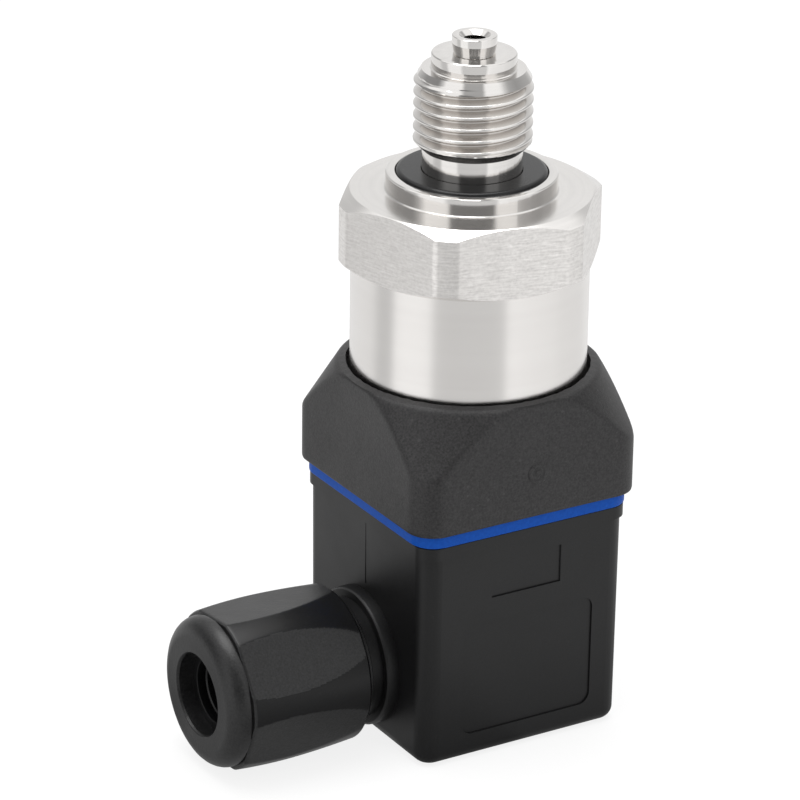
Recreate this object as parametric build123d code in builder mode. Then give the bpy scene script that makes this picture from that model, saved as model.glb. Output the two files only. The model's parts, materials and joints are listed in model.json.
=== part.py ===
from build123d import *
from math import cos, radians, sin, tan
import os

# A pressure transmitter with a square cable plug, standing on the plug's flat end.
# All sizes are millimetres. The origin is the centre of the collar's sealing face.
# +Z runs out along the process thread, -X towards the cable gland,
# and the face with the two recessed panels looks along -Y.

# Running and sliding clearances, on the radius or on one side
slip = 0.05
loose = 0.2

# Process connection, upwards from the sealing face
neck_dia = 11.1
neck_length = 2.7
thread_dia = 13.16
thread_length = 7.85
point_dia = 11.5
point_length = 1.3
stub_dia = 9.4
stub_length = 1.75
stub_chamfer = 0.25
nose_dia = 4.95
nose_waist = 0.15
nose_length = 2.0
channel_dia = 2.5
channel_mouth = 3.5

# Collar with its flat sealing ring
collar_dia = 19.0
collar_height = 2.0
collar_chamfer = 0.15
seal_dia = 16.8
seal_thickness = 1.5
seal_proud = 0.3
seal_gap = 0.3
seal_chamfer = 0.2

# Hexagon, turned a little against the plug
hexagon_flats = 27.0
hexagon_height = 8.2
hexagon_corners = 29.9
hexagon_face_dia = 26.8
hexagon_chamfer = 30.0
hexagon_turn = -12.1

# Round case
case_dia = 26.5
case_wall = 1.0
case_shown = 12.35
case_chamfer = 0.2

# Sensor and its seat inside the hexagon
spigot_length = 3.5
cell_dia = 18.0
cell_thickness = 4.5
cell_gap = 0.1
cell_chamfer = 0.3
clamp_thickness = 2.2
clamp_bore = 12.0
clamp_hole_dia = 1.6
cell_ring_dia = 13.6
cell_ring_section = 1.6
ring_sides = 8
sensor_pin_dia = 0.6
sensor_pin_circle = 8.0
sensor_pin_start = 45.0

# Circuit board across the case
board_thickness = 1.6
board_edge_gap = 0.45
standoff_length = 3.3
standoff_dia = 2.0
standoff_start = 30.0
chip_size = 5.0
chip_height = 1.1
chip_chamfer = 0.2
regulator_size = 3.0
regulator_height = 1.4
capacitor_dia = 3.2
capacitor_height = 3.4
lead_dia = 0.9

# Connector base, which goes from square to round
base_side = 28.75
base_height = 13.45
base_corner = 3.1
base_floor = 4.0
base_chamfer = 0.2
cone_steepness = 58.3
mouth_gap = 0.65
mouth_depth = 1.0
mouth_rim = 0.8
sleeve_height = 7.0
sleeve_wall = 2.0
base_ring_section = 1.15
base_ring_height = 3.8
insert_dia = 4.8
insert_length = 5.5
insert_boss_dia = 9.0
insert_boss_height = 2.5

# Contact blades and the strap that earths the case
contact_circle = 18.0
blade_width = 6.3
blade_thickness = 0.8
blade_reach = 10.5
tail_length = 2.0
tail_gap = 0.35
strap_width = 4.0
strap_thickness = 0.4

# Flat gasket
gasket_side = 27.5
gasket_thickness = 1.6
gasket_corner = 3.0
gasket_hole_gap = 0.35

# Plug housing
plug_height = 27.1
plug_side = 26.16
plug_draft = 0.29
plug_corner = 2.1
plug_edge_round = 1.5
lip_side = 26.85
lip_height = 1.6
lip_chamfer = 0.15
plug_wall = 1.5
plug_floor = 2.0
cavity_corner = 1.2
post_side = 3.0
panel_depth = 0.2
tab_width = 9.0
tab_height = 4.5
tab_drop = 3.2
panel_width = 17.0
panel_height = 13.5
panel_shift = 0.4
panel_drop = 10.5
panel_corner = 1.4

# Centre screw and its recess in the flat end
screw_dia = 3.0
screw_head_dia = 5.5
screw_head_height = 2.0
screw_seal_thickness = 0.6
screw_head_chamfer = 0.3
screw_tip_chamfer = 0.4
recess_gap = 0.45
recess_depth = 4.0
recess_web = 1.5
boss_wall = 1.6
driver_slot = 0.8

# Terminal block
block_height = 13.0
block_sunk = 0.2
block_corner = 1.5
tube_wall = 1.4
clip_leaf = 0.8
clip_base = 0.8
clip_height = 9.4
pocket_web = 1.0
clamp_screw_dia = 2.0
clamp_head_dia = 3.6
clamp_head_height = 1.8

# Cable gland, measured along -X from the axis of the case
gland_height = 9.0
shoulder_dia = 16.0
shoulder_end = 14.6
shoulder_chamfer = 0.25
gland_thread_dia = 15.2
gland_pitch = 1.411
relief_dia = 13.8
relief_length = 1.6
spigot_end = 28.5
spigot_chamfer = 0.5
seal_chamber_dia = 12.6
seal_chamber_start = 21.5
wire_bore = 9.2
cable_seal_length = 10.0
cable_seal_bore = 6.8
thrust_ring_thickness = 1.0
thrust_ring_bore = 7.4
nut_front_wall = 2.0
nut_bore = 8.4
nut_bore_round = 0.6
nut_rear = 17.05
nut_flats = 17.5
nut_draft = 0.6
nut_corner_front = 18.8
nut_corner_rear = 17.9
nut_dome_dia = 17.3
nut_dome_round = 2.1
nut_hex_front = 32.1
nut_corner_run = 0.9
nut_rear_chamfer = 0.4
nut_turn = 6.0
nut_relief_length = 1.5

# Heights of the faces where the pieces meet
hexagon_top = -collar_height
hexagon_bottom = hexagon_top - hexagon_height
base_top = hexagon_bottom - case_shown
base_bottom = base_top - base_height
gasket_bottom = base_bottom - gasket_thickness
plug_bottom = gasket_bottom - plug_height
plug_top = gasket_bottom
thread_start = neck_length
thread_end = thread_start + thread_length
point_end = thread_end + point_length
stub_end = point_end + stub_length
nose_end = stub_end + nose_length
seal_floor = seal_proud - seal_thickness
case_bore = case_dia - 2 * case_wall
spigot_bottom = hexagon_bottom - spigot_length
cell_bottom = spigot_bottom + clamp_thickness
cell_top = cell_bottom + cell_thickness
seat_floor = cell_top + cell_gap
cell_groove_floor = cell_top + cell_ring_section
board_top = spigot_bottom - standoff_length
board_bottom = board_top - board_thickness
board_dia = case_bore - 2 * board_edge_gap
floor_top = base_bottom + base_floor
sleeve_top = floor_top + sleeve_height
sleeve_dia = case_bore - 2 * slip
sleeve_bore = sleeve_dia - 2 * sleeve_wall
socket_dia = case_dia + 2 * slip
mouth_dia = case_dia + 2 * mouth_gap
cone_dia = mouth_dia + 2 * mouth_rim
tail_top = floor_top + tail_length
blade_bottom = base_bottom - blade_reach
insert_top = base_bottom + insert_length
insert_boss_top = floor_top + insert_boss_height
cavity_side = plug_side - 2 * plug_wall
cavity_floor = plug_bottom + plug_floor
recess_top = plug_bottom + recess_depth
boss_top = recess_top + recess_web
recess_dia = screw_head_dia + 2 * recess_gap
boss_dia = recess_dia + 2 * boss_wall
screw_hole_dia = screw_dia + 2 * loose
seat_under_head = recess_top - screw_seal_thickness
screw_tip = insert_top - 2 * slip
block_side = cavity_side - 2 * loose
block_top = plug_top - block_sunk
block_bottom = block_top - block_height
clip_depth = blade_thickness + 2 * slip + 2 * clip_leaf
clip_width = blade_width + 2 * loose
clamp_head_room = clamp_head_height + 2 * loose
pocket_floor = block_bottom + clamp_head_room + pocket_web
clip_top = pocket_floor + clip_height
gland_axis = plug_bottom + gland_height
nut_shoulder = seal_chamber_start + cable_seal_length + thrust_ring_thickness
nut_front = nut_shoulder + nut_front_wall
thrust_ring_dia = seal_chamber_dia - 2 * loose
cable_seal_dia = seal_chamber_dia - 2 * slip

contacts = {"contact_blade_1": 90.0, "contact_blade_2": 270.0,
            "contact_blade_3": 180.0, "earth_blade": 0.0}
clips = {"contact_clip_1": 90.0, "contact_clip_2": 270.0,
         "contact_clip_3": 180.0, "earth_clip": 0.0}
wires = {"supply_lead": 90.0, "signal_lead": 270.0, "return_lead": 180.0}

os.makedirs("parts", exist_ok=True)


def save(builder, name):
    """Label one finished piece and write it."""
    builder.part.label = name
    export_step(builder.part, "parts/" + name + ".step")


def contact_plane(angle, height):
    """A level plane on one contact, its local X along the flat of the blade."""
    c = cos(radians(angle))
    s = sin(radians(angle))
    middle = (contact_circle / 2 * c, contact_circle / 2 * s, height)
    return Plane(origin=middle, x_dir=(-s, c, 0), z_dir=(0, 0, 1))


def gland_plane(reach):
    """A plane across the gland, with its normal pointing out along -X."""
    return Plane(origin=(-reach, 0, gland_axis), x_dir=(0, -1, 0), z_dir=(-1, 0, 0))


gland_line = Axis((0, 0, gland_axis), (-1, 0, 0))

# Pressure port: hexagon, collar, neck, thread and nose turned from one bar
with BuildPart() as pressure_port:
    with BuildSketch(Plane.XY.offset(hexagon_bottom)):
        RegularPolygon(hexagon_flats / 2, 6, major_radius=False,
                       rotation=hexagon_turn)
    extrude(amount=hexagon_height)
    corner_drop = (hexagon_corners - hexagon_face_dia) / 2 * tan(radians(hexagon_chamfer))
    with BuildSketch(Plane.XZ):
        with BuildLine():
            Polyline((0, hexagon_bottom), (hexagon_face_dia / 2, hexagon_bottom),
                     (hexagon_corners / 2, hexagon_bottom + corner_drop),
                     (hexagon_corners / 2, hexagon_top - corner_drop),
                     (hexagon_face_dia / 2, hexagon_top), (0, hexagon_top), close=True)
        make_face()
    revolve(axis=Axis.Z, mode=Mode.INTERSECT)
    with BuildSketch(Plane.XY.offset(hexagon_top)):
        Circle(collar_dia / 2)
    extrude(amount=collar_height)
    chamfer(pressure_port.faces().sort_by(Axis.Z)[-1].edges(), collar_chamfer)
    with BuildSketch(Plane.XY.offset(hexagon_bottom)):
        Circle(case_bore / 2 - slip)
    extrude(amount=-spigot_length)
    with BuildSketch(Plane.XZ):
        with BuildLine():
            Polyline((0, seal_floor), (neck_dia / 2, seal_floor), (neck_dia / 2, thread_start),
                     (thread_dia / 2, thread_start + (thread_dia - neck_dia) / 2),
                     (thread_dia / 2, thread_end), (point_dia / 2, point_end),
                     (stub_dia / 2, point_end), (stub_dia / 2, stub_end),
                     (nose_dia / 2 - nose_waist, stub_end), (nose_dia / 2, nose_end),
                     (0, nose_end), close=True)
        make_face()
    revolve(axis=Axis.Z)
    # Groove of the sealing ring, open to the neck
    with BuildSketch(Plane.XY.offset(seal_floor)):
        Circle(seal_dia / 2 + slip)
        Circle(neck_dia / 2, mode=Mode.SUBTRACT)
    extrude(amount=-seal_floor, mode=Mode.SUBTRACT)
    # Seat of the sensor, its ring groove and the pressure channel
    with BuildSketch(Plane.XY.offset(spigot_bottom)):
        Circle(cell_dia / 2 + slip)
    extrude(amount=seat_floor - spigot_bottom, mode=Mode.SUBTRACT)
    with BuildSketch(Plane.XY.offset(seat_floor)):
        Circle(cell_ring_dia / 2 + cell_ring_section / 2 + loose)
        Circle(cell_ring_dia / 2 - cell_ring_section / 2 - loose, mode=Mode.SUBTRACT)
    extrude(amount=cell_groove_floor - seat_floor, mode=Mode.SUBTRACT)
    with BuildSketch(Plane.XZ):
        mouth_drop = (channel_mouth - channel_dia) / 2
        with BuildLine():
            Polyline((0, seat_floor), (channel_dia / 2, seat_floor),
                     (channel_dia / 2, nose_end - mouth_drop),
                     (channel_mouth / 2, nose_end), (0, nose_end), close=True)
        make_face()
    revolve(axis=Axis.Z, mode=Mode.SUBTRACT)
    # Soft corner on the stub
    rims = pressure_port.edges().filter_by(GeomType.CIRCLE)
    chamfer(rims.filter_by(lambda e: abs(e.radius - stub_dia / 2) < 0.01
                           and abs(e.arc_center.Z - stub_end) < 0.01), stub_chamfer)
save(pressure_port, "pressure_port")

# Flat sealing ring, its upper edges broken
with BuildPart() as port_seal:
    with BuildSketch(Plane.XY.offset(seal_floor)):
        Circle(seal_dia / 2)
        Circle(neck_dia / 2 + seal_gap, mode=Mode.SUBTRACT)
    extrude(amount=seal_thickness)
    chamfer(port_seal.edges().group_by(Axis.Z)[-1], seal_chamfer)
save(port_seal, "port_seal")

# Measuring cell, the ring that seals it and the threaded ring that holds it
with BuildPart() as sensor_cell:
    with BuildSketch(Plane.XY.offset(cell_bottom)):
        Circle(cell_dia / 2)
    extrude(amount=cell_thickness)
    chamfer(sensor_cell.faces().sort_by(Axis.Z)[0].edges(), cell_chamfer)
save(sensor_cell, "sensor_cell")

with BuildPart() as sensor_ring:
    with BuildSketch(Plane.XZ):
        with Locations((cell_ring_dia / 2, cell_groove_floor - cell_ring_section / 2)):
            RegularPolygon(cell_ring_section / 2, ring_sides, major_radius=False,
                           rotation=180 / ring_sides)
    revolve(axis=Axis.Z)
save(sensor_ring, "sensor_ring")

with BuildPart() as sensor_clamp:
    with BuildSketch(Plane.XY.offset(spigot_bottom)):
        Circle(cell_dia / 2)
        Circle(clamp_bore / 2, mode=Mode.SUBTRACT)
        with PolarLocations((cell_dia + clamp_bore) / 4, 2):
            Circle(clamp_hole_dia / 2, mode=Mode.SUBTRACT)
    extrude(amount=clamp_thickness)
save(sensor_clamp, "sensor_clamp")

for number, spot in enumerate(PolarLocations(sensor_pin_circle / 2, 4, sensor_pin_start), start=1):
    foot = Plane(origin=(spot.position.X, spot.position.Y, board_top))
    with BuildPart() as sensor_pin:
        with BuildSketch(foot):
            Circle(sensor_pin_dia / 2)
        extrude(amount=cell_bottom - board_top)
    save(sensor_pin, "sensor_pin_" + str(number))

# Circuit board on three standoffs below the port
standoff_circle = (cell_dia + case_bore) / 4
for number, spot in enumerate(PolarLocations(standoff_circle, 3, standoff_start), start=1):
    foot = Plane(origin=(spot.position.X, spot.position.Y, board_top))
    with BuildPart() as standoff:
        with BuildSketch(foot):
            RegularPolygon(standoff_dia / 2, 6)
        extrude(amount=standoff_length)
    save(standoff, "board_standoff_" + str(number))

with BuildPart() as circuit_board:
    with BuildSketch(Plane.XY.offset(board_bottom)):
        Circle(board_dia / 2)
    extrude(amount=board_thickness)
save(circuit_board, "circuit_board")

with BuildPart() as amplifier_chip:
    with BuildSketch(Plane.XY.offset(board_bottom)):
        Rectangle(chip_size, chip_size)
    extrude(amount=-chip_height)
    chamfer(amplifier_chip.faces().sort_by(Axis.Z)[0].edges(), chip_chamfer)
save(amplifier_chip, "amplifier_chip")

with BuildPart() as regulator_chip:
    with BuildSketch(Plane.XY.offset(board_bottom)):
        with Locations((chip_size, -chip_size / 2)):
            Rectangle(regulator_size, regulator_size)
    extrude(amount=-regulator_height)
save(regulator_chip, "regulator_chip")

with BuildPart() as filter_capacitor:
    with BuildSketch(Plane.XY.offset(board_bottom)):
        with Locations((chip_size, chip_size / 2 + capacitor_dia / 2)):
            Circle(capacitor_dia / 2)
    extrude(amount=-capacitor_height)
save(filter_capacitor, "filter_capacitor")

# Case, a plain drawn tube between the hexagon and the floor of the base
with BuildPart() as case_tube:
    with BuildSketch(Plane.XY.offset(floor_top)):
        Circle(case_dia / 2)
        Circle(case_bore / 2, mode=Mode.SUBTRACT)
    extrude(amount=hexagon_bottom - floor_top)
    chamfer(case_tube.edges().group_by(Axis.Z)[0].sort_by(SortBy.LENGTH)[-1], case_chamfer)
save(case_tube, "case_tube")

# Connector base: a square foot that a coaxial cone turns into a round mouth
with BuildPart() as connector_base:
    with BuildSketch(Plane.XY.offset(base_bottom)):
        RectangleRounded(base_side, base_side, base_corner)
    extrude(amount=base_height)
    cone_out = base_side
    cone_low = base_top - (cone_out - cone_dia / 2) * tan(radians(cone_steepness))
    with BuildSketch(Plane.XZ):
        with BuildLine():
            Polyline((cone_dia / 2, base_top), (cone_out, base_top), (cone_out, cone_low),
                     close=True)
        make_face()
    revolve(axis=Axis.Z, mode=Mode.SUBTRACT)
    chamfer(connector_base.faces().sort_by(Axis.Z)[0].edges(), base_chamfer)
    # Socket of the case, with a wider mouth, around the sleeve that carries the ring
    with BuildSketch(Plane.XY.offset(base_top)):
        Circle(socket_dia / 2)
    extrude(amount=floor_top - base_top, mode=Mode.SUBTRACT)
    with BuildSketch(Plane.XY.offset(base_top)):
        Circle(mouth_dia / 2)
    extrude(amount=-mouth_depth, mode=Mode.SUBTRACT)
    with BuildSketch(Plane.XY.offset(floor_top)):
        Circle(sleeve_dia / 2)
        Circle(sleeve_bore / 2, mode=Mode.SUBTRACT)
    extrude(amount=sleeve_height)
    groove_middle = floor_top + base_ring_height
    with BuildSketch(Plane.XY.offset(groove_middle)):
        Circle(sleeve_dia / 2 + slip)
        Circle(case_bore / 2 - base_ring_section, mode=Mode.SUBTRACT)
    extrude(amount=base_ring_section / 2 + loose, both=True, mode=Mode.SUBTRACT)
    # Channels in the sleeve that clear the tails of the blades and their wires
    for angle in contacts.values():
        with BuildSketch(contact_plane(angle, floor_top)):
            Rectangle(blade_width + 2 * tail_gap, blade_thickness + 2 * tail_gap)
        extrude(amount=sleeve_height, mode=Mode.SUBTRACT)
    # Boss of the brass insert, and the slots that the blades are moulded into
    with BuildSketch(Plane.XY.offset(floor_top)):
        Circle(insert_boss_dia / 2)
    extrude(amount=insert_boss_height)
    with BuildSketch(Plane.XY.offset(base_bottom)):
        Circle(insert_dia / 2)
    extrude(amount=insert_length, mode=Mode.SUBTRACT)
    for angle in contacts.values():
        with BuildSketch(contact_plane(angle, base_bottom)):
            Rectangle(blade_width, blade_thickness)
        extrude(amount=base_floor, mode=Mode.SUBTRACT)
save(connector_base, "connector_base")

with BuildPart() as base_ring:
    with BuildSketch(Plane.XZ):
        with Locations((case_bore / 2 - base_ring_section / 2, groove_middle)):
            RegularPolygon(base_ring_section / 2 - slip, ring_sides, major_radius=False,
                           rotation=180 / ring_sides)
    revolve(axis=Axis.Z)
save(base_ring, "base_ring")

with BuildPart() as thread_insert:
    with BuildSketch(Plane.XY.offset(base_bottom)):
        Circle(insert_dia / 2)
        Circle(screw_dia / 2 + slip, mode=Mode.SUBTRACT)
    extrude(amount=insert_length)
save(thread_insert, "thread_insert")

# Contact blades, moulded into the floor of the base
for name, angle in contacts.items():
    with BuildPart() as blade:
        with BuildSketch(contact_plane(angle, blade_bottom)):
            Rectangle(blade_width, blade_thickness)
        extrude(amount=tail_top - blade_bottom)
        tip = blade.faces().sort_by(Axis.Z)[0]
        chamfer(tip.edges().sort_by(SortBy.LENGTH)[-2:], blade_thickness / 4)
    save(blade, name)

for name, angle in wires.items():
    with BuildPart() as lead:
        with BuildSketch(contact_plane(angle, tail_top)):
            Circle(lead_dia / 2)
        extrude(amount=board_bottom - tail_top)
    save(lead, name)

# Strap from the inner side of the earth blade over the sleeve to the wall of the case
strap_foot = contact_circle / 2 - blade_thickness / 2 - strap_thickness
with BuildPart() as earth_strap:
    with BuildSketch(Plane.XZ):
        with BuildLine():
            strap_rise = sleeve_top + loose
            Polyline((strap_foot, floor_top + loose),
                     (strap_foot, strap_rise + strap_thickness),
                     (case_bore / 2, strap_rise + strap_thickness),
                     (case_bore / 2, strap_rise),
                     (strap_foot + strap_thickness, strap_rise),
                     (strap_foot + strap_thickness, floor_top + loose), close=True)
        make_face()
    extrude(amount=strap_width / 2, both=True)
    with BuildSketch(Plane.XY.offset(floor_top)):
        Circle(case_bore / 2 - slip)
    extrude(amount=case_shown + base_height, mode=Mode.INTERSECT)
save(earth_strap, "earth_strap")

# Gasket sheet between the base and the plug
with BuildPart() as flange_gasket:
    with BuildSketch(Plane.XY.offset(gasket_bottom)):
        RectangleRounded(gasket_side, gasket_side, gasket_corner)
        Circle(screw_dia / 2 + gasket_hole_gap, mode=Mode.SUBTRACT)
    extrude(amount=gasket_thickness)
    for angle in contacts.values():
        with BuildSketch(contact_plane(angle, gasket_bottom)):
            Rectangle(blade_width + 2 * gasket_hole_gap, blade_thickness + 2 * gasket_hole_gap)
        extrude(amount=gasket_thickness, mode=Mode.SUBTRACT)
save(flange_gasket, "flange_gasket")

# Plug housing: a drafted box, open upwards, with the threaded spigot of the gland
with BuildPart() as plug_housing:
    with BuildSketch(Plane.XY.offset(plug_bottom)):
        RectangleRounded(plug_side, plug_side, plug_corner)
    extrude(amount=plug_height, taper=-plug_draft)
    fillet(plug_housing.faces().sort_by(Axis.Z)[0].edges(), plug_edge_round)
    with BuildSketch(Plane.XY.offset(plug_top)):
        RectangleRounded(lip_side, lip_side, plug_corner)
    extrude(amount=-lip_height)
    chamfer(plug_housing.faces().sort_by(Axis.Z)[-1].outer_wire().edges(), lip_chamfer)
    # Shoulder and spigot of the gland
    with BuildSketch(gland_plane(plug_side / 2 - plug_wall)):
        Circle(shoulder_dia / 2)
    extrude(amount=shoulder_end - plug_side / 2 + plug_wall)
    with BuildSketch(gland_plane(shoulder_end)):
        Circle(relief_dia / 2)
    extrude(amount=relief_length)
    with BuildSketch(gland_plane(shoulder_end + relief_length)):
        Circle(gland_thread_dia / 2)
    extrude(amount=spigot_end - shoulder_end - relief_length)
    chamfer(plug_housing.faces().sort_by(Axis.X)[0].edges(), spigot_chamfer)
    chamfer(plug_housing.edges().filter_by(GeomType.CIRCLE).filter_by(
        lambda e: abs(e.radius - shoulder_dia / 2) < 0.01
        and abs(e.arc_center.X + shoulder_end) < 0.01), shoulder_chamfer)
    # Hollow inside, with posts in its corners that carry the terminal block
    with BuildSketch(Plane.XY.offset(cavity_floor)):
        RectangleRounded(cavity_side, cavity_side, cavity_corner)
    extrude(amount=plug_top - cavity_floor, mode=Mode.SUBTRACT)
    post_middle = (cavity_side - post_side) / 2
    with BuildSketch(Plane.XY.offset(cavity_floor)):
        with GridLocations(2 * post_middle, 2 * post_middle, 2, 2):
            Rectangle(post_side, post_side)
    extrude(amount=block_bottom - cavity_floor)
    # Boss around the recess of the centre screw
    with BuildSketch(Plane.XY.offset(cavity_floor)):
        Circle(boss_dia / 2)
    extrude(amount=boss_top - cavity_floor)
    with BuildSketch(Plane.XY.offset(plug_bottom)):
        Circle(recess_dia / 2)
    extrude(amount=recess_depth, mode=Mode.SUBTRACT)
    with BuildSketch(Plane.XY.offset(recess_top)):
        Circle(screw_hole_dia / 2)
    extrude(amount=recess_web, mode=Mode.SUBTRACT)
    # Chamber of the cable seal, and the bore that the wires run through
    with BuildSketch(gland_plane(seal_chamber_start)):
        Circle(seal_chamber_dia / 2)
    extrude(amount=spigot_end - seal_chamber_start, mode=Mode.SUBTRACT)
    with BuildSketch(gland_plane(cavity_side / 2 - plug_wall)):
        Circle(wire_bore / 2)
    extrude(amount=seal_chamber_start - cavity_side / 2 + plug_wall, mode=Mode.SUBTRACT)
    # Two shallow panels in the drafted wall that looks along -Y
    lean = radians(plug_draft)
    wall = Plane(origin=(0, -plug_side / 2, plug_bottom), x_dir=(1, 0, 0),
                 z_dir=(0, -cos(lean), -sin(lean)))
    with BuildSketch(wall):
        with Locations((0, plug_height - tab_drop - tab_height / 2)):
            Rectangle(tab_width, tab_height)
        with Locations((panel_shift, plug_height - panel_drop - panel_height / 2)):
            RectangleRounded(panel_width, panel_height, panel_corner)
    extrude(amount=-panel_depth, mode=Mode.SUBTRACT)
save(plug_housing, "plug_housing")

# Terminal block on the posts, with a pocket for each contact
with BuildPart() as terminal_block:
    with BuildSketch(Plane.XY.offset(block_bottom)):
        Rectangle(block_side, block_side)
    extrude(amount=block_height)
    chamfer(terminal_block.edges().filter_by(Axis.Z), block_corner)
    with BuildSketch(Plane.XY.offset(boss_top)):
        Circle(screw_hole_dia / 2 + tube_wall)
    extrude(amount=block_bottom - boss_top)
    with BuildSketch(Plane.XY.offset(boss_top)):
        Circle(screw_hole_dia / 2)
    extrude(amount=block_top - boss_top, mode=Mode.SUBTRACT)
    for angle in clips.values():
        with BuildSketch(contact_plane(angle, pocket_floor)):
            Rectangle(clip_width + 2 * slip, clip_depth + 2 * slip)
        extrude(amount=block_top - pocket_floor, mode=Mode.SUBTRACT)
        with BuildSketch(contact_plane(angle, block_bottom)):
            Circle(clamp_head_dia / 2 + slip + loose / 2)
        extrude(amount=clamp_head_room, mode=Mode.SUBTRACT)
        with BuildSketch(contact_plane(angle, block_bottom + clamp_head_room)):
            Circle(clamp_screw_dia / 2 + slip)
        extrude(amount=pocket_web, mode=Mode.SUBTRACT)
save(terminal_block, "terminal_block")

# Spring clips that grip the blades, each with the screw that clamps its wire
for name, angle in clips.items():
    with BuildPart() as clip:
        with BuildSketch(contact_plane(angle, pocket_floor)):
            Rectangle(clip_width, clip_depth)
        extrude(amount=clip_height)
        with BuildSketch(contact_plane(angle, pocket_floor + clip_base)):
            Rectangle(clip_width, clip_depth - 2 * clip_leaf)
        extrude(amount=clip_height - clip_base, mode=Mode.SUBTRACT)
        with BuildSketch(contact_plane(angle, pocket_floor)):
            Circle(clamp_screw_dia / 2 + slip)
        extrude(amount=clip_base, mode=Mode.SUBTRACT)
    save(clip, name)

clamp_seat = block_bottom + clamp_head_room
for number, angle in enumerate(clips.values(), start=1):
    with BuildPart() as clamp_screw:
        with BuildSketch(contact_plane(angle, clamp_seat)):
            Circle(clamp_head_dia / 2)
        extrude(amount=-clamp_head_height)
        with BuildSketch(contact_plane(angle, clamp_seat - clamp_head_height)):
            Rectangle(clamp_head_dia, driver_slot)
        extrude(amount=clamp_head_height / 2, mode=Mode.SUBTRACT)
        with BuildSketch(contact_plane(angle, clamp_seat)):
            Circle(clamp_screw_dia / 2)
        extrude(amount=pocket_web + clip_base - slip)
    save(clamp_screw, "terminal_screw_" + str(number))

# Centre screw with its sealing ring, from the flat end up into the brass insert
with BuildPart() as centre_screw:
    with BuildSketch(Plane.XY.offset(seat_under_head)):
        Circle(screw_head_dia / 2)
    extrude(amount=-screw_head_height)
    chamfer(centre_screw.faces().sort_by(Axis.Z)[0].edges(), screw_head_chamfer)
    with BuildSketch(Plane.XY.offset(seat_under_head - screw_head_height)):
        Rectangle(screw_head_dia, driver_slot)
    extrude(amount=screw_head_height / 2, mode=Mode.SUBTRACT)
    with BuildSketch(Plane.XY.offset(seat_under_head)):
        Circle(screw_dia / 2)
    extrude(amount=screw_tip - seat_under_head)
    chamfer(centre_screw.faces().sort_by(Axis.Z)[-1].edges(), screw_tip_chamfer)
save(centre_screw, "centre_screw")

with BuildPart() as screw_seal:
    with BuildSketch(Plane.XY.offset(seat_under_head)):
        Circle(screw_head_dia / 2)
        Circle(screw_hole_dia / 2, mode=Mode.SUBTRACT)
    extrude(amount=screw_seal_thickness)
save(screw_seal, "screw_seal")

# Cable gland: rubber seal, thrust ring and the nut that drives them together
with BuildPart() as cable_seal:
    with BuildSketch(gland_plane(seal_chamber_start)):
        Circle(cable_seal_dia / 2)
        Circle(cable_seal_bore / 2, mode=Mode.SUBTRACT)
    extrude(amount=cable_seal_length)
save(cable_seal, "cable_seal")

with BuildPart() as thrust_ring:
    with BuildSketch(gland_plane(seal_chamber_start + cable_seal_length)):
        Circle(thrust_ring_dia / 2)
        Circle(thrust_ring_bore / 2, mode=Mode.SUBTRACT)
    extrude(amount=thrust_ring_thickness)
save(thrust_ring, "thrust_ring")

# Half section of the nut: reach along the gland, and radius
nut_section = Plane(origin=(0, 0, gland_axis), x_dir=(-1, 0, 0), z_dir=(0, 1, 0))
with BuildPart() as gland_nut:
    with BuildSketch(nut_section):
        rear = nut_corner_rear / 2
        front = nut_corner_front / 2
        with BuildLine():
            Polyline((nut_rear, 0), (nut_rear, rear - nut_rear_chamfer),
                     (nut_rear + nut_rear_chamfer, rear),
                     (nut_hex_front - nut_corner_run, front),
                     (nut_hex_front, nut_dome_dia / 2), (nut_hex_front, 0), close=True)
        make_face()
    revolve(axis=gland_line)
    with BuildSketch(gland_plane(nut_rear)):
        RegularPolygon(nut_flats / 2, 6, major_radius=False, rotation=nut_turn)
    extrude(amount=nut_hex_front - nut_rear, taper=nut_draft, mode=Mode.INTERSECT)
    # Domed front, and the rounded mouth of the bore
    with BuildSketch(gland_plane(nut_hex_front)):
        Circle(nut_dome_dia / 2)
    extrude(amount=nut_front - nut_hex_front)
    with BuildSketch(gland_plane(nut_rear)):
        Circle(gland_thread_dia / 2 + slip)
    extrude(amount=spigot_end + nut_relief_length - nut_rear, mode=Mode.SUBTRACT)
    with BuildSketch(gland_plane(spigot_end + nut_relief_length)):
        Circle(seal_chamber_dia / 2)
    extrude(amount=nut_shoulder - spigot_end - nut_relief_length, mode=Mode.SUBTRACT)
    with BuildSketch(gland_plane(nut_shoulder)):
        Circle(nut_bore / 2)
    extrude(amount=nut_front_wall, mode=Mode.SUBTRACT)
    mouth = gland_nut.faces().sort_by(Axis.X)[0]
    fillet(mouth.outer_wire().edges(), nut_dome_round)
    fillet(gland_nut.faces().sort_by(Axis.X)[0].inner_wires().edges(), nut_bore_round)
save(gland_nut, "gland_nut")
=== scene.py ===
# %% [markdown]
# A pressure transmitter in Blender
#
# The object is a small industrial sensor: a stainless process connection with a
# pipe thread, a hexagon for the spanner, a round steel case, a black base that goes
# from square to round, a blue gasket and a black angled cable plug with its gland.
# It stands on the flat end of the plug, with the thread pointing up.
#
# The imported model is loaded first. It holds every piece at its real size, so the new
# meshes take their places from it and nothing is fitted by eye.

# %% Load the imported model
import json
from math import acos, atan2, ceil, cos, hypot, pi, radians, sin, tan

import bmesh
import bpy
from mathutils import Matrix, Vector, noise


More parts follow.
